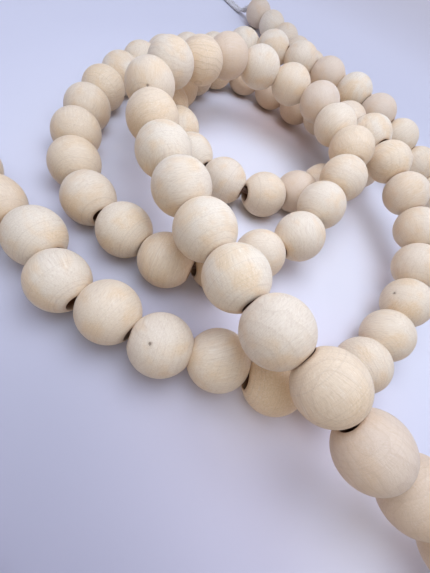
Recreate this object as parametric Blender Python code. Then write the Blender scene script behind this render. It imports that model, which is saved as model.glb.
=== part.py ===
"""Wood bead garland: turned wooden beads strung on a cotton cord, lying in loose crossing coils.

The strand lies on a surface at z = 0. Its beads are made two at a time: a link is two turned beads that
meet at a narrow waist and share one bore, each bead tilted to follow the strand. The end bead is on its own.
A cotton cord runs through every bore, and a loop of the same cord comes out of each end of the strand.
Lengths are in millimetres and are scaled to metres where a mesh or curve is made.
"""
import math

import bmesh
import bpy
import numpy as np
from mathutils import Matrix, Vector

MM = 0.001
UP = Vector((0.0, 0.0, 1.0))

# Beads
BEAD_COUNT = 107
BEAD_RADIUS = 10.0
BEAD_HALF_LENGTH = 8.6
BORE_RADIUS = 3.75
WAIST_RADIUS = 4.6
BAND_HALF_WIDTH = 1.75
SHOULDER_ANGLE = math.radians(49.5)
BEAD_SIDES = 12

# How far each bead of a link is drawn in towards the other, which leaves room between links
DRAWN_IN = 0.3

# Below this rise off the surface a bead lies level on it.
LEVEL_RISE = 0.5

# A bead rests on the flat between two edges of its middle band.
REST_HEIGHT = BEAD_RADIUS * math.cos(math.pi / BEAD_SIDES)

# Cord
CORD_RADIUS = 1.5
CORD_SHORT_OF_FACE = 2.4
LOOP_POINT_SPACING = 8.0
CORD_BEVEL_RESOLUTION = 2

# The strand's route: the number of a bead, where its centre lies, and how far it is raised off the surface.
ROUTE_COLUMNS = ("bead", "x", "y", "rise")
ROUTE = (
    # From the first loop, under the other strands, to the inner arc
    (1, -70, 193, 0), (3, -39, 172, 0), (5, -10, 149, 0), (6, 7, 145, 0),
    (7, 24, 139, 0), (8, 37, 126, 0), (9, 42, 108, 0), (10, 45, 89, 0),
    (11, 44, 71, 0), (12, 46, 52, 0), (13, 39, 36, 0), (14, 28, 21, 0),
    (16, 6, -9, 0), (17, -13, -15, 0), (18, -34, -11, 0), (19, -48, 3, 0),
    (20, -61, 19, 0), (21, -64, 38, 0), (22, -63, 57, 0), (23, -57, 75, 0),
    (24, -40, 85, 0), (25, -22, 84, 0), (26, -4, 80, 1), (27, 12, 72, 6),
    # Over itself and round the right side to the front
    (28, 25, 60, 15), (29, 38, 47, 20), (30, 51, 33, 19), (32, 73, 4, 13),
    (34, 77, -32, 4), (35, 72, -50, 1), (36, 64, -68, 0), (37, 53, -82, 0),
    (38, 35, -90, 0), (39, 16, -92, 0), (40, -2, -96, 0), (41, -20, -95, 0),
    (42, -38, -93, 0), (43, -54, -85, 0), (44, -71, -81, 0), (45, -88, -73, 0),
    # The wide turn at the front left and the run along the front
    (46, -107, -78, 0), (47, -120, -92, 0), (48, -121, -111, 0), (49, -110, -127, 0),
    (51, -80, -149, 0), (53, -46, -163, 0), (56, 11, -171, 0), (58, 49, -167, 0),
    (60, 84, -155, 0),
    # Up onto the strands already laid, and back across them
    (61, 97, -142, 1), (62, 104, -124, 4), (63, 94, -109, 8), (64, 76, -104, 13),
    (65, 58, -102, 19), (66, 42, -94, 23), (67, 25, -88, 24), (68, 9, -77, 22),
    (70, -20, -54, 21), (72, -46, -27, 20), (73, -56, -12, 22), (74, -57, 7, 24),
    (75, -50, 24, 23), (76, -43, 41, 23), (77, -29, 52, 21), (78, -10, 57, 19),
    (79, 7, 52, 20), (80, 19, 38, 20), (81, 30, 23, 21), (82, 32, 5, 17),
    (83, 28, -13, 12), (84, 26, -31, 7), (85, 15, -44, 1), (86, 2, -59, 0),
    # The outer arc on the left
    (87, -15, -69, 0), (88, -33, -65, 0), (89, -51, -61, 0), (91, -77, -33, 0),
    (92, -84, -15, 0), (93, -88, 4, 0), (95, -89, 42, 0), (96, -85, 60, 0),
    (97, -78, 77, 0), (98, -68, 93, 1),
    # Over the first strand to the second end
    (99, -52, 99, 9), (100, -34, 99, 15), (102, 4, 94, 18), (103, 23, 89, 19),
    (104, 39, 80, 18), (105, 58, 76, 14), (106, 75, 71, 8), (107, 92, 66, 2),
)

# One loop: how far out along its end bead's axis, how far to the side, and the height of the cord.
LOOP_COLUMNS = ("along", "across", "height")
LOOP = (
    (7.2, 1.65, REST_HEIGHT), (12.5, 1.7, 8.4), (18, 1.75, 4.4), (25, 1.75, 2.1), (36, 1.8, 1.65),
    (46, 2.4, 1.65), (57, 8, 1.65), (68, 15, 1.65), (80, 16, 1.65), (88, 8, 1.65), (86, -3, 1.65),
    (75, -9, 1.65), (61, -6, 1.65), (48, -2.0, 1.65), (36, -1.8, 1.65), (25, -1.75, 2.1),
    (18, -1.75, 4.4), (12.5, -1.7, 8.4), (7.2, -1.65, REST_HEIGHT),
)

WOOD_COLOUR = (0.76, 0.66, 0.53, 1.0)
CORD_COLOUR = (0.62, 0.60, 0.56, 1.0)


def clear_scene():
    for item in list(bpy.data.objects):
        bpy.data.objects.remove(item, do_unlink=True)


def make_collection(name):
    group = bpy.data.collections.new(name)
    bpy.context.scene.collection.children.link(group)
    return group


def plain_material(name, colour, roughness):
    material = bpy.data.materials.new(name)
    material.use_nodes = True
    shader = material.node_tree.nodes["Principled BSDF"]
    shader.inputs["Base Color"].default_value = colour
    shader.inputs["Roughness"].default_value = roughness
    shader.inputs["Metallic"].default_value = 0.0
    return material


def smooth_curve(keys, points):
    """A function giving the point at any key on a smooth curve through the points."""
    keys = np.array(keys, dtype=float)
    points = np.array(points, dtype=float)
    steps = np.diff(keys)[:, None]
    rates = np.diff(points, axis=0) / steps
    slopes = np.empty_like(points)
    slopes[1:-1] = (rates[:-1] * steps[1:] + rates[1:] * steps[:-1]) / (steps[:-1] + steps[1:])
    slopes[0] = 1.5 * rates[0] - 0.5 * slopes[1]
    slopes[-1] = 1.5 * rates[-1] - 0.5 * slopes[-2]

    def at(key):
        i = int(np.clip(np.searchsorted(keys, key) - 1, 0, len(keys) - 2))
        step = keys[i + 1] - keys[i]
        t = (key - keys[i]) / step
        near = (1 + 2 * t) * (1 - t) ** 2 * points[i] + t * (1 - t) ** 2 * step * slopes[i]
        far = t * t * (3 - 2 * t) * points[i + 1] + t * t * (t - 1) * step * slopes[i + 1]
        return near + far

    return at


def bead_places():
    """The centre and axis of every bead: the axis runs from the bead before it to the bead after it."""
    column = {name: i for i, name in enumerate(ROUTE_COLUMNS)}
    numbers = [row[column["bead"]] for row in ROUTE]
    route = smooth_curve(numbers, [[row[column[name]] for name in ("x", "y", "rise")] for row in ROUTE])
    centres = []
    for number in range(1, BEAD_COUNT + 1):
        x, y, rise = route(number)
        centres.append(Vector((x, y, REST_HEIGHT + (rise if rise > LEVEL_RISE else 0.0))))
    for i in range(1, BEAD_COUNT, 2):
        pull = (centres[i + 1] - centres[i]).normalized() * DRAWN_IN
        centres[i] += pull
        centres[i + 1] -= pull
    axes = []
    for i, centre in enumerate(centres):
        axis = centres[min(i + 1, BEAD_COUNT - 1)] - centres[max(i - 1, 0)]
        if centre.z < REST_HEIGHT + LEVEL_RISE:
            axis.z = 0.0
        axes.append(axis.normalized())
    return list(zip(centres, axes))


def group_into_links(places):
    """The end bead on its own, then the beads two by two, each with its number in the strand."""
    numbered = list(enumerate(places, start=1))
    return [numbered[:1]] + [numbered[i:i + 2] for i in range(1, len(numbered), 2)]


def place_matrix(centre, axis):
    """Local Z runs along the strand, and one flat of a bead faces straight down."""
    down = (-UP + axis * axis.z).normalized()
    roll = math.pi / BEAD_SIDES
    across = down * math.cos(roll) - axis.cross(down) * math.sin(roll)
    turn = Matrix((across, axis.cross(across), axis)).transposed()
    return Matrix.Translation(centre) @ turn.to_4x4()


def face_centre(place, towards):
    """The middle of a bead's end face: towards is 1 for the end further along the strand, else -1."""
    centre, axis = place
    return centre + axis * towards * BEAD_HALF_LENGTH


def meeting_matrix(near, far):
    """The place where the bores of two neighbouring beads meet."""
    middle = (face_centre(near, 1) + face_centre(far, -1)) / 2
    return place_matrix(middle, (near[1] + far[1]).normalized())


def bead_outline():
    """Outer outline of one bead from its near end to its far end, as (radius, distance along) pairs."""
    shoulder_radius = BEAD_RADIUS * math.sin(SHOULDER_ANGLE)
    shoulder = BEAD_RADIUS * math.cos(SHOULDER_ANGLE)
    half = [(BORE_RADIUS, BEAD_HALF_LENGTH), (shoulder_radius, shoulder), (BEAD_RADIUS, BAND_HALF_WIDTH)]
    return [(radius, -along) for radius, along in half] + half[::-1]


def add_ring(mesh, matrix, radius, along):
    """A ring of points round a local Z axis."""
    ring = []
    for i in range(BEAD_SIDES):
        angle = 2 * math.pi * i / BEAD_SIDES
        point = Vector((radius * math.cos(angle), radius * math.sin(angle), along))
        ring.append(mesh.verts.new((matrix @ point) * MM))
    return ring


def link_rings(mesh, link):
    """The rings of one bead or of two, up the outside and back down the bore."""
    matrices = [place_matrix(*place) for number, place in link]
    outline = bead_outline()
    if len(link) == 1:
        return [add_ring(mesh, matrices[0], *point) for point in outline]
    meeting = meeting_matrix(link[0][1], link[1][1])
    rings = [add_ring(mesh, matrices[0], *point) for point in outline[:-1]]
    rings.append(add_ring(mesh, meeting, WAIST_RADIUS, 0.0))
    rings += [add_ring(mesh, matrices[1], *point) for point in outline[1:]]
    rings.append(add_ring(mesh, meeting, BORE_RADIUS, 0.0))
    return rings


def make_link(link, material, group):
    """Lofts the rings into one closed body, the last ring meeting the first."""
    name = ("beads_" if len(link) == 2 else "bead_") + "_".join(f"{number:03d}" for number, place in link)
    middle = sum((place[0] for number, place in link), Vector()) / len(link)
    loft = bmesh.new()
    rings = link_rings(loft, link)
    for ring, following in zip(rings, rings[1:] + rings[:1]):
        for i in range(BEAD_SIDES):
            j = (i + 1) % BEAD_SIDES
            loft.faces.new((ring[i], ring[j], following[j], following[i]))
    bmesh.ops.translate(loft, verts=loft.verts, vec=-middle * MM)
    bmesh.ops.recalc_face_normals(loft, faces=loft.faces)
    mesh = bpy.data.meshes.new(name)
    loft.to_mesh(mesh)
    loft.free()
    mesh.shade_smooth()
    mesh.materials.append(material)
    item = bpy.data.objects.new(name, mesh)
    item.location = middle * MM
    group.objects.link(item)


def make_tube(name, points, material, group):
    curve = bpy.data.curves.new(name, "CURVE")
    curve.dimensions = "3D"
    curve.bevel_depth = CORD_RADIUS * MM
    curve.bevel_resolution = CORD_BEVEL_RESOLUTION
    curve.use_fill_caps = True
    spline = curve.splines.new("POLY")
    spline.points.add(len(points) - 1)
    for target, point in zip(spline.points, points):
        target.co = (*(point * MM), 1.0)
    spline.use_smooth = True
    curve.materials.append(material)
    item = bpy.data.objects.new(name, curve)
    group.objects.link(item)


def make_threading_cord(places, material, group):
    """The cord passes the middle of each place where two bores meet, and stops short of the outer faces."""
    points = [face_centre(places[0], -1) + places[0][1] * CORD_SHORT_OF_FACE]
    for near, far in zip(places, places[1:]):
        points.append(meeting_matrix(near, far).translation)
    points.append(face_centre(places[-1], 1) - places[-1][1] * CORD_SHORT_OF_FACE)
    make_tube("threading_cord", points, material, group)


def loop_points(centre, outward, side_sign):
    """Points along one loop, from the end bead's bore, round, and back to it."""
    side = UP.cross(outward) * side_sign
    column = {name: i for i, name in enumerate(LOOP_COLUMNS)}
    corners = []
    for row in LOOP:
        point = centre + outward * row[column["along"]] + side * row[column["across"]]
        point.z = row[column["height"]]
        corners.append(point)
    lengths = [0.0]
    for near, far in zip(corners, corners[1:]):
        lengths.append(lengths[-1] + (far - near).length)
    route = smooth_curve(lengths, corners)
    count = round(lengths[-1] / LOOP_POINT_SPACING)
    return [Vector(route(lengths[-1] * i / count)) for i in range(count + 1)]


def beads_middle(places):
    """The middle of the box round all the beads, on the surface that they lie on."""
    rings = []
    for place in places:
        matrix = place_matrix(*place)
        for radius, along in bead_outline():
            for i in range(BEAD_SIDES):
                angle = 2 * math.pi * i / BEAD_SIDES
                rings.append(matrix @ Vector((radius * math.cos(angle), radius * math.sin(angle), along)))
    rings = np.array(rings)
    middle = (rings.min(axis=0) + rings.max(axis=0)) / 2
    return Vector((middle[0], middle[1], 0.0))


def main():
    clear_scene()
    group = make_collection("wood_bead_garland")
    places = bead_places()
    shift = beads_middle(places)
    places = [(centre - shift, axis) for centre, axis in places]
    wood = plain_material("bead_wood", WOOD_COLOUR, 0.6)
    for link in group_into_links(places):
        make_link(link, wood, group)
    cotton = plain_material("cotton_cord", CORD_COLOUR, 0.9)
    make_threading_cord(places, cotton, group)
    # The loop at the second end is the first one's mirror image.
    make_tube("first_loop", loop_points(places[0][0], -places[0][1], 1), cotton, group)
    make_tube("second_loop", loop_points(places[-1][0], places[-1][1], -1), cotton, group)


main()
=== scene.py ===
"""Looks of the wood bead garland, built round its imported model.

Every bead gets a finely turned ball in solid-wood grain, and the cord gets its twisted plies. The strand's
route and the loops are the ones that the model was made with. Lengths are in millimetres until a mesh is
made, and the floor and the lights are placed in metres.
"""
import math
import random

import bpy
import numpy as np
from mathutils import Euler, Matrix, Vector


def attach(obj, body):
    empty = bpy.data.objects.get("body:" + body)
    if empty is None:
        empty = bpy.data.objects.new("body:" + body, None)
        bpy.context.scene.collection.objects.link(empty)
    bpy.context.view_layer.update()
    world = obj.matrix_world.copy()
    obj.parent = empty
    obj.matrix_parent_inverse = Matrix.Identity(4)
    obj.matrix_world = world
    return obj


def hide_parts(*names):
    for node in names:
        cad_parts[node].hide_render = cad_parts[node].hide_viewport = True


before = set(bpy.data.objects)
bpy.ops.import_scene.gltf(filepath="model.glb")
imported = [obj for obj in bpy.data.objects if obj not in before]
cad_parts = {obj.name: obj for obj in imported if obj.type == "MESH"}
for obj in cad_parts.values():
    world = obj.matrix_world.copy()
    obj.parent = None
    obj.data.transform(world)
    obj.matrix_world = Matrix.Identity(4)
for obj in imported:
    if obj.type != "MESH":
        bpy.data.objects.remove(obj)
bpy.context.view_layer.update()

MM = 0.001
UP = Vector((0.0, 0.0, 1.0))
ORIGIN = (0.0, 0.0, 0.0)

# How far the route is moved, so that the middle of the box round the beads is at the origin
SHIFT = Vector((8.481, -11.028, 0.0))

# Beads
BEAD_COUNT = 107
BEAD_RADIUS = 10.0
BEAD_LENGTHENING = 1.02
BEAD_SIDES = 60
OUTLINE_STEPS = 30

# Bore, and its rows of points as shares of its half length
BORE_RADIUS = 3.3
BORE_ROWS = (0.82, 0.4, 0.0, -0.4, -0.82)

# Rounded rim of the bore, and how much of the bore's painted shade its inner end has
RIM_SPREAD = 0.27
RIM_DEPTH = 0.33
RIM_STEPS = 5
RIM_BORE_SHADE_SHARE = 0.45

# The model's beads have flat sides, and its level beads lie on one of them with their centres this high
MODEL_BEAD_SIDES = 12
FLAT_HEIGHT = BEAD_RADIUS * math.cos(math.pi / MODEL_BEAD_SIDES)

# Below this rise off the surface a bead lies level on it
LEVEL_RISE = 0.5

# Spacing of neighbours, how far a bead may go to keep it, and the room that crossing stretches need
SMALLEST_PITCH = 18.5
LARGEST_PITCH = 18.8
FURTHEST_STRAY = 1.6
CLEARANCE = 20.05
CROSSING_REACH = CLEARANCE + 4.0
CLOSING_ROUNDS = 120

# Joints that stand open or sit tighter than the rest: the number of the bead before, then the beads' spacing
JOINT_PITCH = {16: 19.0, 38: 18.95, 40: 18.9, 65: 18.3, 66: 18.7, 67: 18.95, 84: 18.2, 86: 18.9}

# Above this spacing a joint is open, and counts this much for the way that its beads point
OPEN_PITCH = 18.85
OPEN_SHARE = 0.5

# How far a few beads are turned about the vertical on the slack cord, in degrees
TURNED = {18: 7, 40: 4, 41: -9, 42: -4, 43: 3, 66: 2, 67: 1, 68: -3, 84: -6, 85: 4, 88: 2}

# Cord
CORD_RADIUS = 1.5
CORD_PLIES = 3
CORD_TWIST_PITCH = 8.0

# Plies press together, so each is this much thicker than a round one that only touches the others
PLY_FULLNESS = 1.15

# Swells of a ply: how strong, how fast they follow along the cord, and how far they shift from ply to ply
PLY_SWELLS = ((0.05, 0.9, 2.1), (0.03, 2.3, 1.0))

# The drawn cord cuts each bend by this much for a unit of bend, as far as the bore has room for it
CORD_PULL = 12.0
CORD_PLAY = 0.1
CORD_SLACK = BORE_RADIUS - CORD_RADIUS - CORD_PLAY
SLIGHTEST_PULL = 0.001

# Where along a bead's axis the cord bends, and where it ends in the first and last bead
BEND_FROM_CENTRE = 9.1
END_FROM_CENTRE = 6.2

# The strand's route: the number of a bead, where its centre lies, and how far it is raised off the surface
ROUTE = (
    (1, -70, 193, 0), (3, -39, 172, 0), (5, -10, 149, 0), (6, 7, 145, 0),
    (7, 24, 139, 0), (8, 37, 126, 0), (9, 42, 108, 0), (10, 45, 89, 0),
    (11, 44, 71, 0), (12, 46, 52, 0), (13, 39, 36, 0), (14, 28, 21, 0),
    (16, 6, -9, 0), (17, -13, -15, 0), (18, -34, -11, 0), (19, -48, 3, 0),
    (20, -61, 19, 0), (21, -64, 38, 0), (22, -63, 57, 0), (23, -57, 75, 0),
    (24, -40, 85, 0), (25, -22, 84, 0), (26, -4, 80, 1), (27, 12, 72, 6),
    (28, 25, 60, 15), (29, 38, 47, 20), (30, 51, 33, 19), (32, 73, 4, 13),
    (34, 77, -32, 4), (35, 72, -50, 1), (36, 64, -68, 0), (37, 53, -82, 0),
    (38, 35, -90, 0), (39, 16, -92, 0), (40, -2, -96, 0), (41, -20, -95, 0),
    (42, -38, -93, 0), (43, -54, -85, 0), (44, -71, -81, 0), (45, -88, -73, 0),
    (46, -107, -78, 0), (47, -120, -92, 0), (48, -121, -111, 0), (49, -110, -127, 0),
    (51, -80, -149, 0), (53, -46, -163, 0), (56, 11, -171, 0), (58, 49, -167, 0),
    (60, 84, -155, 0),
    (61, 97, -142, 1), (62, 104, -124, 4), (63, 94, -109, 8), (64, 76, -104, 13),
    (65, 58, -102, 19), (66, 42, -94, 23), (67, 25, -88, 24), (68, 9, -77, 22),
    (70, -20, -54, 21), (72, -46, -27, 20), (73, -56, -12, 22), (74, -57, 7, 24),
    (75, -50, 24, 23), (76, -43, 41, 23), (77, -29, 52, 21), (78, -10, 57, 19),
    (79, 7, 52, 20), (80, 19, 38, 20), (81, 30, 23, 21), (82, 32, 5, 17),
    (83, 28, -13, 12), (84, 26, -31, 7), (85, 15, -44, 1), (86, 2, -59, 0),
    (87, -15, -69, 0), (88, -33, -65, 0), (89, -51, -61, 0), (91, -77, -33, 0),
    (92, -84, -15, 0), (93, -88, 4, 0), (95, -89, 42, 0), (96, -85, 60, 0),
    (97, -78, 77, 0), (98, -68, 93, 1),
    (99, -52, 99, 9), (100, -34, 99, 15), (102, 4, 94, 18), (103, 23, 89, 19),
    (104, 39, 80, 18), (105, 58, 76, 14), (106, 75, 71, 8), (107, 92, 66, 2),
)

# One loop: how far out along its end bead's axis, how far to the side, and the height of the cord
LOOP = (
    (7.2, 1.65, FLAT_HEIGHT), (12.5, 1.7, 8.4), (18, 1.75, 4.4), (25, 1.75, 2.1), (36, 1.8, 1.65),
    (46, 2.4, 1.65), (57, 8, 1.65), (68, 15, 1.65), (80, 16, 1.65), (88, 8, 1.65), (86, -3, 1.65),
    (75, -9, 1.65), (61, -6, 1.65), (48, -2.0, 1.65), (36, -1.8, 1.65), (25, -1.75, 2.1),
    (18, -1.75, 4.4), (12.5, -1.7, 8.4), (7.2, -1.65, FLAT_HEIGHT),
)

# Above this height the loop is raised as its bead's full round ball is
LOOP_RAISED_FROM = 5.0

# Camera
CAMERA_AT = (5.0, -135.0, 104.8)
CAMERA_FOCAL_PX = 328.0
CAMERA_TILT = math.radians(54.6)
CAMERA_ROLL = math.radians(-28.5)
FRAME_LONG_SIDE_PX = 573
SENSOR_WIDTH = 36.0


def make_camera():
    """Looks away from the viewer and down, and is turned about its own line of sight."""
    forward = Vector((0.0, math.cos(CAMERA_TILT), -math.sin(CAMERA_TILT)))
    right = Vector((1.0, 0.0, 0.0))
    down = forward.cross(right)
    rolled_right = math.cos(CAMERA_ROLL) * right + math.sin(CAMERA_ROLL) * down
    rolled_down = -math.sin(CAMERA_ROLL) * right + math.cos(CAMERA_ROLL) * down
    data = bpy.data.cameras.new("camera")
    data.sensor_width = SENSOR_WIDTH
    data.lens = CAMERA_FOCAL_PX * SENSOR_WIDTH / FRAME_LONG_SIDE_PX
    data.clip_start = 0.01
    data.clip_end = 20.0
    camera = bpy.data.objects.new("camera", data)
    turn = Matrix((rolled_right, -rolled_down, -forward)).transposed()
    camera.matrix_world = Matrix.Translation((Vector(CAMERA_AT) + SHIFT) * MM) @ turn.to_4x4()
    bpy.context.scene.collection.objects.link(camera)
    bpy.context.scene.camera = camera


# The strand's layout

def smooth_curve(keys, points):
    """A function giving the point at any key on a smooth curve through the points."""
    keys = np.array(keys, dtype=float)
    points = np.array(points, dtype=float)
    steps = np.diff(keys)[:, None]
    rates = np.diff(points, axis=0) / steps
    slopes = np.empty_like(points)
    slopes[1:-1] = (rates[:-1] * steps[1:] + rates[1:] * steps[:-1]) / (steps[:-1] + steps[1:])
    slopes[0] = 1.5 * rates[0] - 0.5 * slopes[1]
    slopes[-1] = 1.5 * rates[-1] - 0.5 * slopes[-2]

    def at(key):
        i = int(np.clip(np.searchsorted(keys, key) - 1, 0, len(keys) - 2))
        step = keys[i + 1] - keys[i]
        t = (key - keys[i]) / step
        near = (1 + 2 * t) * (1 - t) ** 2 * points[i] + t * (1 - t) ** 2 * step * slopes[i]
        far = t * t * (3 - 2 * t) * points[i + 1] + t * t * (t - 1) * step * slopes[i + 1]
        return near + far

    return at


def bead_places():
    """The centre and axis of every bead. A full round ball lies a little higher than the model's bead."""
    route = smooth_curve([row[0] for row in ROUTE], [row[1:] for row in ROUTE])
    centres = []
    for number in range(1, BEAD_COUNT + 1):
        x, y, rise = route(number)
        centres.append(Vector((x, y, BEAD_RADIUS + (rise if rise > LEVEL_RISE else 0.0))) + SHIFT)
    close_up(centres)
    # A bead lines up with the neighbour that it touches more than with one across an open joint
    runs = [far - near for near, far in zip(centres, centres[1:])]
    shares = [OPEN_SHARE if JOINT_PITCH.get(i + 1, 0) > OPEN_PITCH else 1.0 for i in range(len(runs))]
    axes = []
    for i, centre in enumerate(centres):
        axis = Vector((0.0, 0.0, 0.0))
        for j in (i - 1, i):
            if 0 <= j < len(runs):
                axis += runs[j] * shares[j]
        if centre.z < BEAD_RADIUS + LEVEL_RISE:
            axis.z = 0.0
        axis.rotate(Euler((0.0, 0.0, math.radians(TURNED.get(i + 1, 0)))))
        axes.append(axis.normalized())
    return list(zip(centres, axes))


def close_up(centres):
    """Slides the beads until neighbours touch, and keeps crossing stretches apart. No bead goes far."""
    first = [centre.copy() for centre in centres]
    crossing = []
    for i in range(BEAD_COUNT):
        for j in range(i + 2, BEAD_COUNT):
            if (first[i] - first[j]).length < CROSSING_REACH:
                crossing.append((centres[i], centres[j]))
    for _ in range(CLOSING_ROUNDS):
        for i in range(BEAD_COUNT - 1):
            near, far = centres[i], centres[i + 1]
            fitting = min(max((far - near).length, SMALLEST_PITCH), LARGEST_PITCH)
            set_apart(near, far, JOINT_PITCH.get(i + 1, fitting))
        for one, other in crossing:
            if (one - other).length < CLEARANCE:
                set_apart(one, other, CLEARANCE)
        for centre, start in zip(centres, first):
            strayed = centre - start
            if strayed.length > FURTHEST_STRAY:
                centre -= strayed * (1 - FURTHEST_STRAY / strayed.length)


def set_apart(near, far, distance):
    """Moves two points apart or together, level, towards this distance."""
    gap = far - near
    push = gap.normalized() * (distance - gap.length) / 2
    push.z = 0.0
    near -= push
    far += push


# Twisted cord

def frames_along(points):
    """A tangent and two cross directions at each point, which turn as little as possible on the way."""
    tangents = []
    for i in range(len(points)):
        tangents.append((points[min(i + 1, len(points) - 1)] - points[max(i - 1, 0)]).normalized())
    side = tangents[0].orthogonal().normalized()
    frames = []
    for tangent in tangents:
        side = (side - tangent * side.dot(tangent)).normalized()
        frames.append((tangent, side, tangent.cross(side)))
    return frames


def even_points(points, spacing):
    """Points at even distances on a smooth curve through the given ones, and the curve's length."""
    lengths = [0.0]
    for near, far in zip(points, points[1:]):
        lengths.append(lengths[-1] + (far - near).length)
    count = max(2, round(lengths[-1] / spacing) + 1)
    at = smooth_curve(lengths, points)
    return [Vector(at(lengths[-1] * i / (count - 1))) for i in range(count)], lengths[-1]


def make_cord(name, corners, material, spacing=0.55, ply_sides=10):
    """Plies wound round one another, each a closed tube, with yarn coordinates for the material."""
    points, length = even_points(corners, spacing)
    frames = frames_along(points)
    share = math.sin(math.pi / CORD_PLIES) / (1 + math.sin(math.pi / CORD_PLIES))
    ply_radius = CORD_RADIUS * share * PLY_FULLNESS
    offset = CORD_RADIUS - ply_radius
    lean = 2 * math.pi * offset / CORD_TWIST_PITCH
    verts, faces, yarn = [], [], []
    for ply in range(CORD_PLIES):
        first = len(verts)
        for i, (point, (tangent, side, other)) in enumerate(zip(points, frames)):
            along = length * i / (len(points) - 1)
            turn = 2 * math.pi * (along / CORD_TWIST_PITCH + ply / CORD_PLIES)
            swell = 1.0
            for strength, rate, shift in PLY_SWELLS:
                swell += strength * math.sin(along * rate + ply * shift)
            out = side * math.cos(turn) + other * math.sin(turn)
            around = tangent.cross(out)
            ply_across = (around - tangent * lean).normalized()
            middle = point + out * offset
            for j in range(ply_sides):
                angle = 2 * math.pi * j / ply_sides
                reach = out * math.cos(angle) + ply_across * math.sin(angle)
                verts.append((middle + reach * ply_radius * swell) * MM)
                yarn.append((along, j / ply_sides, ply))
        for i in range(len(points) - 1):
            a = first + i * ply_sides
            faces += ring_faces(a, a + ply_sides, ply_sides)
        faces.append(tuple(first + j for j in reversed(range(ply_sides))))
        last = first + (len(points) - 1) * ply_sides
        faces.append(tuple(last + j for j in range(ply_sides)))
    item = make_item(name, verts, faces, {"yarn": yarn}, material)
    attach(item, "root")
    return item, [point * MM for point in points], length * MM


def ring_faces(a, b, sides):
    """The faces between two rings of points, which start at a and at b."""
    faces = []
    for j in range(sides):
        k = (j + 1) % sides
        faces.append((a + j, a + k, b + k, b + j))
    return faces


def make_item(name, verts, faces, coords, material):
    """A smooth mesh in the scene, with its material and the coordinates that the material reads."""
    mesh = bpy.data.meshes.new(name)
    mesh.from_pydata(verts, [], faces)
    for key, values in coords.items():
        data = mesh.attributes.new(key, "FLOAT_VECTOR", "POINT")
        data.data.foreach_set("vector", np.array(values, dtype=np.float32).ravel())
    mesh.shade_smooth()
    mesh.materials.append(material)
    item = bpy.data.objects.new(name, mesh)
    bpy.context.scene.collection.objects.link(item)
    return item


def inside_bores(places):
    """The drawn cord cuts the corner at each bend, so it lies against the inner side of the bores there."""
    points = [places[0][0] - places[0][1] * END_FROM_CENTRE]
    for near, far in zip(places, places[1:]):
        bend = far[1] - near[1]
        inwards = bend * min(1.0, CORD_SLACK / max(bend.length * CORD_PULL, SLIGHTEST_PULL))
        ends = near[0] + near[1] * BEND_FROM_CENTRE + far[0] - far[1] * BEND_FROM_CENTRE
        points.append(ends / 2 + inwards * CORD_PULL)
    points.append(places[-1][0] + places[-1][1] * END_FROM_CENTRE)
    return points


def make_threading_cord(places, material):
    corners = inside_bores(places)
    item = make_cord("threading_cord_twisted", corners, material, spacing=1.1, ply_sides=8)[0]
    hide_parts("threading_cord")


def loop_corners(centre, outward, side_sign):
    side = UP.cross(outward) * side_sign
    corners = []
    for along, across, height in LOOP:
        point = centre + outward * along + side * across
        point.z = height + (BEAD_RADIUS - FLAT_HEIGHT if height > LOOP_RAISED_FROM else 0.0)
        corners.append(point)
    return corners


def make_loop(name, place, outward, side_sign, material):
    corners = loop_corners(place[0], outward, side_sign)
    item, path, length = make_cord(name + "_twisted", corners, material)
    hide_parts(name)


# Nodes of the materials

# How strong the relief is, and how deep it is in metres
RELIEF_STRENGTH = 0.8
RELIEF_DEPTH = 0.00012


def new_material(name, roughness, specular, sheen=0.0, sheen_roughness=0.5):
    material = bpy.data.materials.new(name)
    material.use_nodes = True
    shader = material.node_tree.nodes["Principled BSDF"]
    shader.inputs["Roughness"].default_value = roughness
    shader.inputs["Specular IOR Level"].default_value = specular
    shader.inputs["Sheen Weight"].default_value = sheen
    shader.inputs["Sheen Roughness"].default_value = sheen_roughness
    return material, material.node_tree, shader


def feed(tree, socket, given):
    """Links a socket to another one, or stores a value in it."""
    if isinstance(given, bpy.types.NodeSocket):
        tree.links.new(given, socket)
    else:
        socket.default_value = given


def put(tree, kind, **inputs):
    """A node of this kind with its settings and inputs. The input i0 is the first one, and so on."""
    node = tree.nodes.new(kind)
    for key, given in inputs.items():
        if hasattr(node, key) and key not in node.inputs:
            setattr(node, key, given)
        elif key[0] == "i" and key[1:].isdigit():
            feed(tree, node.inputs[int(key[1:])], given)
        else:
            feed(tree, node.inputs[key], given)
    return node


def maths(tree, operation, a, b=0.0):
    return put(tree, "ShaderNodeMath", operation=operation, i0=a, i1=b).outputs[0]


def vector_maths(tree, operation, a, b):
    node = put(tree, "ShaderNodeVectorMath", operation=operation, i0=a, i1=b)
    return node.outputs["Value" if operation in ("LENGTH", "DISTANCE") else "Vector"]


def span(tree, value, low, high, to_low=0.0, to_high=1.0):
    """Runs smoothly from to_low where the value is low to to_high where it is high."""
    node = put(tree, "ShaderNodeMapRange", interpolation_type="SMOOTHSTEP")
    for socket, given in zip(node.inputs, (value, low, high, to_low, to_high)):
        feed(tree, socket, given)
    return node.outputs[0]


def noise(tree, vector, scale, detail, roughness):
    node = put(tree, "ShaderNodeTexNoise", Vector=vector, Scale=scale, Detail=detail, Roughness=roughness)
    return node.outputs[0]


def line_noise(tree, value, scale, detail):
    """Noise that changes with one number only."""
    node = put(tree, "ShaderNodeTexNoise", noise_dimensions="1D", W=value, Scale=scale, Detail=detail)
    return node.outputs[0]


def tint(tree, factor, colour, other):
    """The colour with this share of the other one mixed in."""
    node = put(tree, "ShaderNodeMix", data_type="RGBA")
    for number, given in ((0, factor), (6, colour), (7, other)):
        feed(tree, node.inputs[number], given)
    return node.outputs[2]


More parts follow.
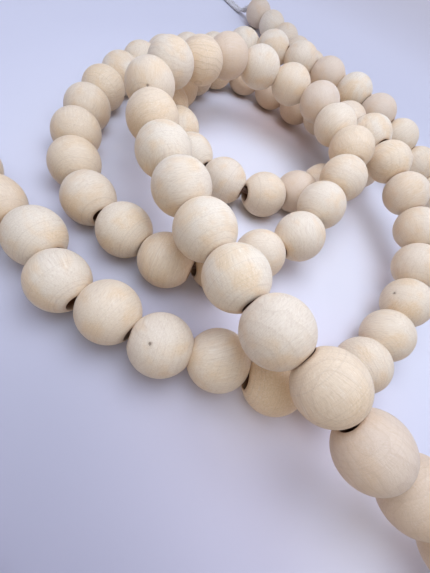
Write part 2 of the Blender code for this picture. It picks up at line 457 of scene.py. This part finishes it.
def attribute(tree, name):
    return put(tree, "ShaderNodeAttribute", attribute_name=name).outputs["Vector"]


def split(tree, vector):
    """The three parts of a vector."""
    return put(tree, "ShaderNodeSeparateXYZ", Vector=vector).outputs


def finish_material(tree, shader, colour, height):
    """Gives the shader its colour and its fine relief."""
    tree.links.new(colour, shader.inputs["Base Color"])
    bump = put(tree, "ShaderNodeBump", Height=height, Strength=RELIEF_STRENGTH, Distance=RELIEF_DEPTH)
    tree.links.new(bump.outputs[0], shader.inputs["Normal"])


# Wood

# Colours of the wood, of what marks it, and of the painted shade on it
PALE_WOOD = (0.770, 0.645, 0.475, 1.0)
AMBER_WOOD = (0.770, 0.560, 0.330, 1.0)
LATE_WOOD = (0.50, 0.335, 0.20, 1.0)
DARK_FIBRES = (0.53, 0.37, 0.23, 1.0)
LIGHT_FIBRES = (0.86, 0.78, 0.64, 1.0)
PORES = (0.38, 0.26, 0.165, 1.0)
SPECKS = (0.46, 0.34, 0.235, 1.0)
TURNING_LINES = (0.48, 0.35, 0.24, 1.0)
# Painted shade for the listed shaded beads, and a random brown for the others
BROWN_WOOD_AND_PAINTED_SHADE = (0.58, 0.42, 0.30, 1.0)
# Painted shade on a bead's ends round the bore, where neighbours meet
JOINT_END_SHADE = (0.45, 0.245, 0.115, 1.0)
# Painted shade inside the bore
PAINTED_BORE_SHADE = (0.22, 0.085, 0.03, 1.0)
KNOT_EDGE = (0.42, 0.29, 0.18, 1.0)
KNOT = (0.13, 0.09, 0.06, 1.0)

# Rings: how far they waver, how wide they are, how much the widths differ, and how narrow the late wood is
RING_WAVER = (5.0, 5.0, 5.0)
RING_WIDTH = 2.1
RING_VARIETY = 1.6
LATE_NARROWNESS = 5.0

# How fine a pattern is across the trunk, twice, and along it
FIBRE_FINENESS = (2.6, 2.6, 0.20)
PORE_FINENESS = (7.0, 7.0, 0.8)
CLOUD_FINENESS = (0.13, 0.13, 0.08)

# Distances from the bore's axis where the painted shade on the bead's ends begins and where it is strongest
JOINT_END_SHADE_FADES = (5.0, 3.4)


def growth_rings(tree, block):
    """The block's coordinates made to waver, and how near a place is to the late wood of its ring."""
    drift = put(tree, "ShaderNodeTexNoise", Vector=block, Scale=0.09, Detail=2.0).outputs["Color"]
    drift = vector_maths(tree, "SUBTRACT", drift, (0.5, 0.5, 0.5))
    wavered = vector_maths(tree, "ADD", block, vector_maths(tree, "MULTIPLY", drift, RING_WAVER))
    flat = vector_maths(tree, "MULTIPLY", wavered, (1.0, 1.0, 0.0))
    ring = maths(tree, "DIVIDE", vector_maths(tree, "LENGTH", flat, ORIGIN), RING_WIDTH)
    # No two rings are of one width
    widths = line_noise(tree, ring, 0.45, 1.0)
    ring = maths(tree, "ADD", ring, maths(tree, "MULTIPLY", widths, RING_VARIETY))
    return wavered, maths(tree, "POWER", maths(tree, "FRACT", ring), LATE_NARROWNESS)


def distance_from_mark(tree, block):
    """How far a place is from the bead's knot or nick, which has a ragged edge."""
    ragged = maths(tree, "MULTIPLY", noise(tree, block, 3.0, 3.0, 0.6), 0.8)
    away = vector_maths(tree, "LENGTH", attribute(tree, "from_mark"), ORIGIN)
    return maths(tree, "SUBTRACT", away, ragged)


def wood_relief(tree, lathe, fibres, pores, speck, away):
    """Turning lines round the bore, raised fibres and specks, sunken pores and a dent at a mark."""
    height = maths(tree, "MULTIPLY", lathe, 0.5)
    height = maths(tree, "ADD", height, fibres)
    height = maths(tree, "SUBTRACT", height, maths(tree, "MULTIPLY", pores, 0.35))
    height = maths(tree, "ADD", height, maths(tree, "MULTIPLY", speck, 0.5))
    return maths(tree, "SUBTRACT", height, maths(tree, "MULTIPLY", span(tree, away, 0.25, 0.0), 1.5))


def wood_material():
    """Solid pale wood: rings round a pith that runs along Z in the block that each bead is cut from."""
    material, tree, shader = new_material(
        "turned_pale_wood", roughness=0.6, specular=0.35, sheen=0.10, sheen_roughness=0.45)
    block = attribute(tree, "block")
    from_axis, along, bore_shade_share = split(tree, attribute(tree, "turned"))
    amber, rings, brown_and_painted_shade = split(tree, attribute(tree, "tone"))
    wavered, late = growth_rings(tree, block)
    # Fibres run along the trunk, and sanding leaves them short and fuzzy
    fibres = noise(tree, vector_maths(tree, "MULTIPLY", wavered, FIBRE_FINENESS), 1.0, 4.0, 0.7)
    pores = noise(tree, vector_maths(tree, "MULTIPLY", block, PORE_FINENESS), 1.0, 2.0, 0.6)
    pores = span(tree, pores, 0.60, 0.76)
    clouds = noise(tree, vector_maths(tree, "MULTIPLY", block, CLOUD_FINENESS), 1.0, 2.0, 0.55)
    speck = noise(tree, block, 3.4, 3.0, 0.75)
    lathe = line_noise(tree, along, 2.2, 3.0)
    away = distance_from_mark(tree, block)
    # Layers of colour over the pale wood. The bore is painted dark as painted shade, and the ends round it
    # are browner as painted shade where the beads meet.
    layers = (
        (maths(tree, "MULTIPLY", amber, 0.6), AMBER_WOOD),
        (span(tree, clouds, 0.44, 0.68, 0.0, 0.8), AMBER_WOOD),
        (maths(tree, "MULTIPLY", late, rings), LATE_WOOD),
        (span(tree, fibres, 0.48, 0.72, 0.0, 0.42), DARK_FIBRES),
        (span(tree, fibres, 0.48, 0.26, 0.0, 0.55), LIGHT_FIBRES),
        (maths(tree, "MULTIPLY", pores, 0.25), PORES),
        (span(tree, speck, 0.50, 0.80, 0.0, 0.18), SPECKS),
        (span(tree, lathe, 0.50, 0.80, 0.0, 0.24), TURNING_LINES),
        # Painted shade on the listed shaded beads, and a random brown on the others
        (brown_and_painted_shade, BROWN_WOOD_AND_PAINTED_SHADE),
        # Painted shade on the bead's ends round the bore, where neighbours meet
        (span(tree, from_axis, *JOINT_END_SHADE_FADES, 0.0, 0.5), JOINT_END_SHADE),
        # Painted shade inside the bore, near black
        (bore_shade_share, PAINTED_BORE_SHADE),
        (span(tree, away, 0.7, 0.0, 0.0, 0.25), KNOT_EDGE),
        (span(tree, away, 0.10, -0.10, 0.0, 0.70), KNOT),
    )
    colour = PALE_WOOD
    for strength, layer in layers:
        colour = tint(tree, strength, colour, layer)
    finish_material(tree, shader, colour, wood_relief(tree, lathe, fibres, pores, speck, away))
    return material


# Cotton

# Colours of the yarn: painted shade between its fibres and the yarn on them, its fuzz and soil, and the
# painted shade of the cord in the bores
YARN_HOLLOW_SHADE = (0.50, 0.45, 0.42, 1.0)
YARN_CREST = (0.76, 0.71, 0.67, 1.0)
YARN_FUZZ = (0.86, 0.84, 0.81, 1.0)
YARN_SOIL = (0.52, 0.47, 0.41, 1.0)
# Painted shade of the cord where it runs inside the beads
CORD_SHADE_COLOUR = (0.20, 0.085, 0.035, 1.0)

# Fibres of a ply: how many are passed in a millimetre along the cord, and how many in a turn round the ply
FIBRES_ALONG = 0.55
FIBRES_AROUND = 3.0


def cotton_material(name, sheen, cord_shade):
    """Loosely spun yarn: fine fibres run round each ply at a slant with painted shade between them, and
    painted shade may brown the cord in the bores.
    """
    material, tree, shader = new_material(
        name, roughness=0.92, specular=0.2, sheen=sheen, sheen_roughness=0.6)
    along, around, ply = split(tree, attribute(tree, "yarn"))
    along = maths(tree, "MULTIPLY", along, FIBRES_ALONG)
    around = maths(tree, "MULTIPLY", around, FIBRES_AROUND)
    slant = maths(tree, "ADD", along, around)
    lay = maths(tree, "MULTIPLY", maths(tree, "ADD", slant, ply), 2 * math.pi)
    waves = maths(tree, "ADD", maths(tree, "MULTIPLY", maths(tree, "SINE", lay), 0.5), 0.5)
    place = put(tree, "ShaderNodeTexCoord").outputs["Object"]
    fuzz = noise(tree, place, 2400.0, 4.0, 0.65)
    soil = noise(tree, place, 260.0, 2.0, 0.5)
    # Painted shade between the fibres of each ply
    colour = tint(tree, waves, YARN_HOLLOW_SHADE, YARN_CREST)
    colour = tint(tree, span(tree, fuzz, 0.35, 0.7, 0.0, 0.35), colour, YARN_FUZZ)
    colour = tint(tree, span(tree, soil, 0.5, 0.8, 0.0, 0.25), colour, YARN_SOIL)
    # Painted shade browns the cord that runs in the bores
    colour = tint(tree, cord_shade, colour, CORD_SHADE_COLOUR)
    height = maths(tree, "ADD", waves, maths(tree, "MULTIPLY", fuzz, 0.8))
    finish_material(tree, shader, colour, height)
    return material


# Turned beads

# Beads that are yellower than most, much yellower, and paler. The much yellower ones lie under crossing
# strands, and their colour is partly painted warm shade.
AMBER_BEADS = (30, 44, 64, 66, 72, 75, 76, 81, 87, 90, 91, 93)
DEEP_AMBER_AND_WARM_SHADE_BEADS = (20, 21, 23, 24, 25, 26, 38, 86)
PALE_BEADS = (1, 2, 17, 18, 29, 40, 42, 43, 67, 68, 69, 70, 71, 74, 77, 79, 83, 84, 94, 99, 100, 103)

# How amber most beads are, what the amber ones have on top, and how amber the deep and the pale ones are
USUAL_AMBER = (0.25, 0.6)
EXTRA_AMBER = 0.45
DEEP_AMBER = 1.6
PALE_AMBER = 0.05

# Beads darkened with painted shade, how much of it they get, and how brown the others are at random at most
PAINTED_SHADE_BEADS = (1, 15, 24, 25, 26, 61, 62, 63, 64, 65, 76, 79, 102, 104)
PAINTED_SHADE_SHARE = 0.5
MOST_RANDOM_BROWN = 0.2

# Beads whose rings are given one by one, and how much they stand out
RINGED = {75: 0.52, 67: 0.24, 66: 0.28, 65: 0.32, 64: 0.30, 40: 0.16, 95: 0.20, 22: 0.35, 51: 0.40, 42: 0.10}

# How much the other beads' rings stand out at most, and how rarely they come near it
CLEAREST_RINGS = 0.26
RING_RARITY = 1.5

# How a few beads are cut: the trunk's direction, the way to its pith, and how far off that is
CUTS = {
    75: ((0.88, 0.39, 0.28), (-0.48, 0.72, 0.51), 60), 22: ((0.2, 0.9, 0.3), (0.9, -0.2, 0.3), 60),
    67: ((-0.20, -0.94, 0.28), (0.0, 0.3, 1.0), 2), 66: ((-0.91, 0.39, 0.13), (0.0, -0.7, 0.7), 40),
    65: ((-0.95, 0.28, 0.10), (0.2, 0.5, -0.8), 7), 40: ((0.1, -0.8, 0.6), (1.0, 0.0, 0.0), 6),
    64: ((-0.9, 0.1, 0.3), (0.0, -0.7, 0.7), 25), 68: ((-0.7, 0.7, 0.0), (0.5, 0.0, 0.8), 30),
}

# How the other beads are cut: how far they lean in the trunk in radians, the share that lies across it, how
# far off the pith is, and how far from the trunk's middle they come at most
TRUNK_LEAN = 0.5
LYING_SHARE = 0.6
PITH_DISTANCES = (9, 45)
TRUNK_HALF_LENGTH = 500

# Where a few beads have a knot or a nick: the bead's number, then a direction in the scene's axes
MARKS = {
    73: (0.32, -0.84, 0.43), 40: (-0.22, -0.47, 0.85), 34: (-0.86, -0.3, 0.41), 58: (0.3, -0.8, 0.5),
    94: (0.6, -0.3, 0.7), 103: (0.3, 0.5, 0.8), 12: (0.7, -0.5, 0.4), 49: (-0.5, -0.6, 0.6),
}

# The mark of a bead that has none is out of its reach
NO_MARK = Vector((0.0, 0.0, 50.0))

# How much the beads' sizes differ, how oval they are at most, and how far apart their turning lines start
SIZE_SPREAD = 0.004
MOST_OVAL = 0.006
LINES_APART = 40

# Each bead has its own fixed seed, which is this and its number
SEED = 1000


def bead_profile():
    """Closed outline of a bead, as (radius, along, share of painted bore shade) from its near rim round and
    back.
    """
    edge = math.acos((BORE_RADIUS + RIM_SPREAD) / BEAD_RADIUS)
    outer = []
    for i in range(OUTLINE_STEPS + 1):
        angle = -edge + 2 * edge * i / OUTLINE_STEPS
        outer.append((BEAD_RADIUS * math.cos(angle), BEAD_LENGTHENING * BEAD_RADIUS * math.sin(angle), 0.0))
    rim_radius, rim_along, _ = outer[-1]
    rim = []
    for i in range(1, RIM_STEPS + 1):
        share = i / RIM_STEPS
        radius = rim_radius + (BORE_RADIUS - rim_radius) * math.sin(share * math.pi / 2)
        along = rim_along - RIM_DEPTH * (1 - math.cos(share * math.pi / 2))
        rim.append((radius, along, RIM_BORE_SHADE_SHARE * share))
    bore_end = rim[-1][1]
    inside = [(BORE_RADIUS, bore_end * row, 1.0) for row in BORE_ROWS]
    near = [(radius, -along, dark) for radius, along, dark in reversed(rim)]
    return outer + rim + inside + near


PROFILE = bead_profile()


def bead_cut(number, own_axes, dice):
    """The turn from a bead's own axes to its trunk's, and where in the trunk its centre is."""
    lean = dice.uniform(-TRUNK_LEAN, TRUNK_LEAN)
    if dice.random() < LYING_SHARE:
        lean += math.pi / 2
    cut = Euler((lean, dice.uniform(-TRUNK_LEAN, TRUNK_LEAN), dice.uniform(0, 2 * math.pi))).to_matrix()
    distance = dice.uniform(*PITH_DISTANCES)
    place = Vector((distance, 0.0, dice.uniform(-TRUNK_HALF_LENGTH, TRUNK_HALF_LENGTH)))
    place.rotate(Euler((0.0, 0.0, dice.uniform(0, 2 * math.pi))))
    if number in CUTS:
        trunk, inwards, distance = CUTS[number]
        trunk = Vector(trunk)
        across = trunk.cross(Vector(inwards)).normalized()
        inwards = across.cross(trunk).normalized()
        cut = Matrix((inwards, across, trunk.normalized())) @ own_axes
        place = Vector((distance, 0.0, place.z))
    return cut, place


def bead_tone(number, dice):
    """How amber a bead is, how much its rings stand out, and how brown it is, which for the listed shaded
    beads is painted shade.
    """
    amber = dice.uniform(*USUAL_AMBER)
    # Beads under crossing strands: deep amber, partly painted warm shade
    if number in DEEP_AMBER_AND_WARM_SHADE_BEADS:
        amber = DEEP_AMBER
    elif number in AMBER_BEADS:
        amber += EXTRA_AMBER
    elif number in PALE_BEADS:
        amber = PALE_AMBER
    # The listed beads get painted shade, and the others a random brown
    shade = PAINTED_SHADE_SHARE if number in PAINTED_SHADE_BEADS else dice.uniform(0.0, MOST_RANDOM_BROWN)
    rings = dice.random() ** RING_RARITY * CLEAREST_RINGS
    return amber, RINGED.get(number, rings), shade


def turned_bead(number, centre, axis):
    """Vertices, faces and material coordinates of one bead."""
    dice = random.Random(SEED + number)
    side = axis.orthogonal().normalized()
    side = Matrix.Rotation(dice.uniform(0, 2 * math.pi), 3, axis) @ side
    other = axis.cross(side)
    size = 1.0 - abs(dice.gauss(0, SIZE_SPREAD))
    oval = dice.uniform(0.0, MOST_OVAL)
    cut, in_trunk = bead_cut(number, Matrix((side, other, axis)).transposed(), dice)
    tone = bead_tone(number, dice)
    mark = Vector(MARKS[number]).normalized() * BEAD_RADIUS if number in MARKS else NO_MARK
    verts, block, turned, from_mark = [], [], [], []
    for radius, along, dark in PROFILE:
        for j in range(BEAD_SIDES):
            angle = 2 * math.pi * j / BEAD_SIDES
            wide = radius * size * (1 + oval * math.cos(2 * angle))
            local = Vector((wide * math.cos(angle), wide * math.sin(angle), along * size))
            placed = side * local.x + other * local.y + axis * local.z
            verts.append((centre + placed) * MM)
            block.append(cut @ local + in_trunk)
            turned.append((radius, along + LINES_APART * number, dark))
            from_mark.append(placed - mark)
    faces = []
    for i in range(len(PROFILE)):
        following = (i + 1) % len(PROFILE)
        faces += ring_faces(i * BEAD_SIDES, following * BEAD_SIDES, BEAD_SIDES)
    coords = {"block": block, "turned": turned, "from_mark": from_mark, "tone": [tone] * len(verts)}
    return verts, faces, coords


def make_beads(name, numbers, places, material):
    """The beads that one solid of the model stands for."""
    verts, faces, coords = [], [], {}
    for number in numbers:
        centre, axis = places[number - 1]
        more_verts, more_faces, more_coords = turned_bead(number, centre, axis)
        first = len(verts)
        verts += more_verts
        faces += [tuple(first + i for i in face) for face in more_faces]
        for key, values in more_coords.items():
            coords.setdefault(key, []).extend(values)
    item = make_item(name + "_turned", verts, faces, coords, material)
    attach(item, "root")
    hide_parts(name)


# Floor, lights and room

# The floor is a square that reaches this far each way, with two tints in soft patches
FLOOR_REACH = 6.0
FLOOR_TINTS = ((0.612, 0.584, 0.612, 1.0), (0.628, 0.600, 0.630, 1.0))

# The floor is painted lighter between these distances from its middle, as painted light far off
FLOOR_MIDDLE = (0.03, 0.0, 0.0)
LIGHTER_BETWEEN = (0.16, 0.32)
FAR_FLOOR_PAINTED_LIGHT = (0.72, 0.695, 0.735, 1.0)

# Painted light and shade on the floor: where the middle of each patch is in metres, its reach, its strength
# and its colour
PAINTED_FLOOR_LIGHT_AND_SHADE = (
    # A painted pool of warm light in the middle of the garland
    (0.030, 0.000, 0.18, 1.0, (0.72, 0.67, 0.66, 1.0)),
    # A painted warm shadow under the beads on the far inner side of the ring
    (0.000, 0.064, 0.045, 0.7, (0.66, 0.48, 0.37, 1.0)),
    # Painted light that lightens the shadow in front of the raised front run
    (0.052, -0.110, 0.075, 1.0, (0.86, 0.77, 0.78, 1.0)),
    # A painted shadow of the viewer, darker in front of the garland
    (0.010, -0.185, 0.17, 0.66, (0.22, 0.20, 0.25, 1.0)),
    # Two patches of painted light that lighten the shadow beside the front run
    (0.046, -0.102, 0.030, 0.6, (0.86, 0.80, 0.78, 1.0)),
    (0.092, -0.124, 0.040, 0.6, (0.86, 0.80, 0.78, 1.0)),
)

# Lights: name, place, lengths of the sides, power in watts, colour, and the point that each one faces
LIGHTS = (
    ("overhead", (0.03, 0.01, 0.33), (0.3, 0.3), 0.88, (0.55, 0.70, 1.0), (0.03, 0.01, 0.0)),
    ("lamp", (0.015, -0.035, 0.17), (0.1, 0.1), 0.08, (0.84, 0.88, 1.0), (0.015, -0.035, 0.0)),
    ("high_front", (0.0, -0.35, 0.9), (0.5, 0.5), 1.5, (0.49, 0.69, 1.0), ORIGIN),
    ("window", (0.3, 1.3, 0.5), (1.2, 0.8), 3.0, (0.77, 0.80, 1.0), ORIGIN),
    ("left", (-0.7, 0.1, 0.6), (0.5, 0.5), 1.25, (0.55, 0.57, 1.0), ORIGIN),
    ("right", (0.8, 0.2, 0.6), (0.5, 0.5), 1.65, (0.61, 0.65, 1.0), ORIGIN),
    ("low_front", (0.04, -0.22, 0.09), (0.1, 0.1), 0.026, (1.0, 0.94, 0.90), (0.04, -0.09, 0.03)),
)

# The room has pale walls all round. The ceiling is brighter, and begins at this share of straight up.
ROOM_COLOUR = (0.91, 0.91, 1.0, 1.0)
WALL_STRENGTH = 0.32
CEILING_STRENGTH = 1.0
CEILING_FROM = 0.75


def make_floor():
    mesh = bpy.data.meshes.new("floor")
    low, high = -FLOOR_REACH, FLOOR_REACH
    corners = [(low, low, 0.0), (high, low, 0.0), (high, high, 0.0), (low, high, 0.0)]
    mesh.from_pydata(corners, [], [(0, 1, 2, 3)])
    material, tree, shader = new_material("pale_floor", roughness=0.7, specular=0.2)
    place = put(tree, "ShaderNodeTexCoord").outputs["Object"]
    colour = tint(tree, noise(tree, place, 14.0, 3.0, 0.5), *FLOOR_TINTS)
    away = vector_maths(tree, "DISTANCE", place, FLOOR_MIDDLE)
    # Painted light: the floor lighter far off
    colour = tint(tree, span(tree, away, *LIGHTER_BETWEEN), colour, FAR_FLOOR_PAINTED_LIGHT)
    # Each patch paints light or shade on the floor
    for x, y, reach, share, tone in PAINTED_FLOOR_LIGHT_AND_SHADE:
        away = vector_maths(tree, "DISTANCE", place, (x, y, 0.0))
        colour = tint(tree, span(tree, away, reach, 0.0, 0.0, share), colour, tone)
    tree.links.new(colour, shader.inputs["Base Color"])
    mesh.materials.append(material)
    floor = bpy.data.objects.new("floor", mesh)
    bpy.context.scene.collection.objects.link(floor)


def make_area_light(name, at, size, power, colour, towards):
    data = bpy.data.lights.new(name, "AREA")
    data.shape = "RECTANGLE"
    data.size, data.size_y = size
    data.energy = power
    data.color = colour
    light = bpy.data.objects.new(name, data)
    light.location = at
    light.visible_camera = False
    light.rotation_mode = "QUATERNION"
    light.rotation_quaternion = (Vector(towards) - Vector(at)).to_track_quat("-Z", "Y")
    bpy.context.scene.collection.objects.link(light)


def make_room():
    world = bpy.data.worlds.new("soft_room")
    bpy.context.scene.world = world
    world.use_nodes = True
    tree = world.node_tree
    background = tree.nodes["Background"]
    background.inputs["Color"].default_value = ROOM_COLOUR
    upwards = split(tree, put(tree, "ShaderNodeTexCoord").outputs["Generated"])[2]
    strength = span(tree, upwards, CEILING_FROM, 1.0, WALL_STRENGTH, CEILING_STRENGTH)
    tree.links.new(strength, background.inputs["Strength"])


def main():
    bpy.context.scene.view_settings.view_transform = "Standard"
    make_camera()
    places = bead_places()
    clean_cotton = cotton_material("twisted_cotton", sheen=0.35, cord_shade=0.0)
    # The threading cord gets painted shade for the bores it runs in
    bore_shaded_cotton = cotton_material("bore_shaded_cotton", sheen=0.02, cord_shade=0.9)
    make_loop("first_loop", places[0], -places[0][1], 1, clean_cotton)
    make_loop("second_loop", places[-1], places[-1][1], -1, clean_cotton)
    make_threading_cord(places, bore_shaded_cotton)
    wood = wood_material()
    make_beads("bead_001", [1], places, wood)
    for number in range(2, BEAD_COUNT, 2):
        make_beads(f"beads_{number:03d}_{number + 1:03d}", [number, number + 1], places, wood)
    make_floor()
    for light in LIGHTS:
        make_area_light(*light)
    make_room()


main()
